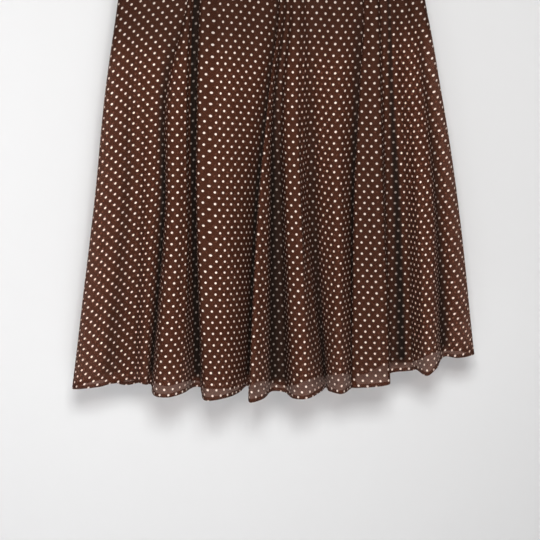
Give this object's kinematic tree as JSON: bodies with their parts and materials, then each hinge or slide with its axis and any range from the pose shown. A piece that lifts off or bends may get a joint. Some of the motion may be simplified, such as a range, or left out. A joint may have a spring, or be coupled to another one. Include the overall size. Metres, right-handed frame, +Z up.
{
  "type": "wrap skirt on a clip hanger",
  "caption": "Flared wrap skirt of sheer spotted cloth hanging in soft flutes from a plain clip hanger, with a buttoned waistband and a short lining.",
  "frame": {"origin": "inner top of the hanger's hook, where a rail or a peg carries it", "axes": "+Z up, the front faces -Y, +X to the right of someone looking at the front"},
  "size_m": [0.5751, 0.1481, 0.9095],
  "materials": {
    "chiffon": "sheer dark brown crepe chiffon with small cream spots",
    "lining": "smooth dark brown lining with a low sheen",
    "button": "polished dark brown",
    "hanger_steel": "satin steel"
  },
  "bodies": {
    "root": {"over_front_wrap": "chiffon", "over_front_centre": "chiffon", "over_front_side": "chiffon", "under_front_side": "chiffon", "under_front_centre": "chiffon", "back_side_left": "chiffon", "back_centre_left": "chiffon", "back_centre_right": "chiffon", "back_side_right": "chiffon", "lining_front": "lining", "lining_back": "lining", "waistband": "chiffon", "button": "button", "hanger_bar": "hanger_steel", "hanger_hook": "hanger_steel", "clip_left": "hanger_steel", "clip_right": "hanger_steel"}
  },
  "joints": []
}
